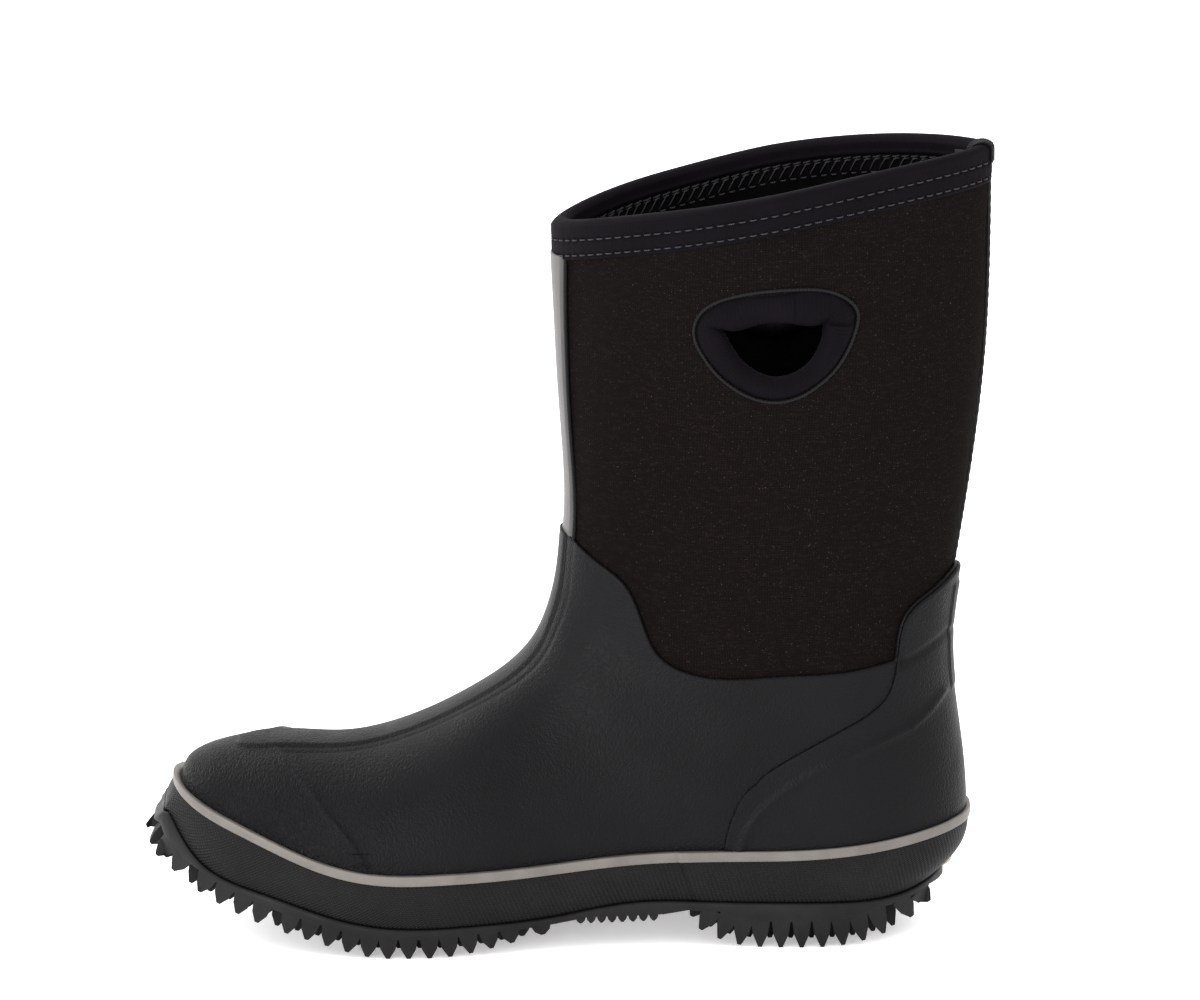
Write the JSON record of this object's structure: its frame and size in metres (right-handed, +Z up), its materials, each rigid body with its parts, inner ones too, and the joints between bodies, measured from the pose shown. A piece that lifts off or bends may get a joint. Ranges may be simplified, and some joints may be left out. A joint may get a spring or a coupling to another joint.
{
  "type": "pull-on work boot",
  "caption": "Mid-height pull-on work boot: neoprene shaft with hand holes, rubber foot with heel counter, foxing stripe and deeply lugged sole. Right foot.",
  "frame": {"origin": "under the middle of the boot's box, on the ground that the lugs stand on", "axes": "+Z up; the toe points towards -X; the inner (medial) side faces -Y"},
  "size_m": [0.3128, 0.1004, 0.2999],
  "materials": {
    "sole_rubber": "moulded satin",
    "foxing_rubber": "fine knurled matt",
    "stripe_rubber": "satin",
    "upper_rubber": "fine grained satin",
    "neoprene_knit": "fine knit face, matt",
    "binding_knit": "smooth stretch knit",
    "satin_tape": "satin",
    "black_cord": "ribbed",
    "jersey_lining": "matt jersey",
    "footbed_cloth": "matt knit",
    "foam": "open cell",
    "fibre_board": "pressed fibre",
    "steel": "bright",
    "thermo_sheet": "pressed sheet"
  },
  "bodies": {
    "boot": {"outsole": "sole_rubber", "midsole": "foam", "shank": "steel", "heel_filler": "foam", "insole_board": "fibre_board", "foxing_band": "foxing_rubber", "foxing_stripe": "stripe_rubber", "rubber_vamp": "upper_rubber", "instep_strip": "upper_rubber", "heel_counter_cover": "upper_rubber", "toe_puff": "thermo_sheet", "heel_stiffener": "thermo_sheet", "foot_bootie": "neoprene_knit", "foot_lining": "jersey_lining"},
    "shaft": {"inner_panel": "neoprene_knit", "outer_panel": "neoprene_knit", "shaft_lining": "jersey_lining", "front_strip": "satin_tape", "inner_seam_cord": "black_cord", "outer_seam_cord": "black_cord", "back_seam_tape": "black_cord", "collar_binding": "binding_knit", "collar_back_tab": "satin_tape", "inner_handle_rim": "binding_knit", "outer_handle_rim": "binding_knit", "inner_handle_piping": "black_cord", "outer_handle_piping": "black_cord"},
    "footbed": {"footbed_foam": "foam", "footbed_cloth": "footbed_cloth"}
  },
  "joints": [
    {"name": "shaft_flex", "type": "hinge", "parent": "boot", "child": "shaft", "pos_m": [0.07, 0, 0.118], "axis": [0, 1, 0], "range_deg": [-12, 15], "stiffness_Nm_per_rad": 4, "deforming": ["inner_panel", "outer_panel", "shaft_lining", "front_strip", "inner_seam_cord", "outer_seam_cord", "back_seam_tape"]},
    {"name": "footbed_lift", "type": "hinge", "parent": "boot", "child": "footbed", "pos_m": [-0.137, 0, 0.045], "axis": [0, -1, 0], "range_deg": [0, 6]}
  ]
}
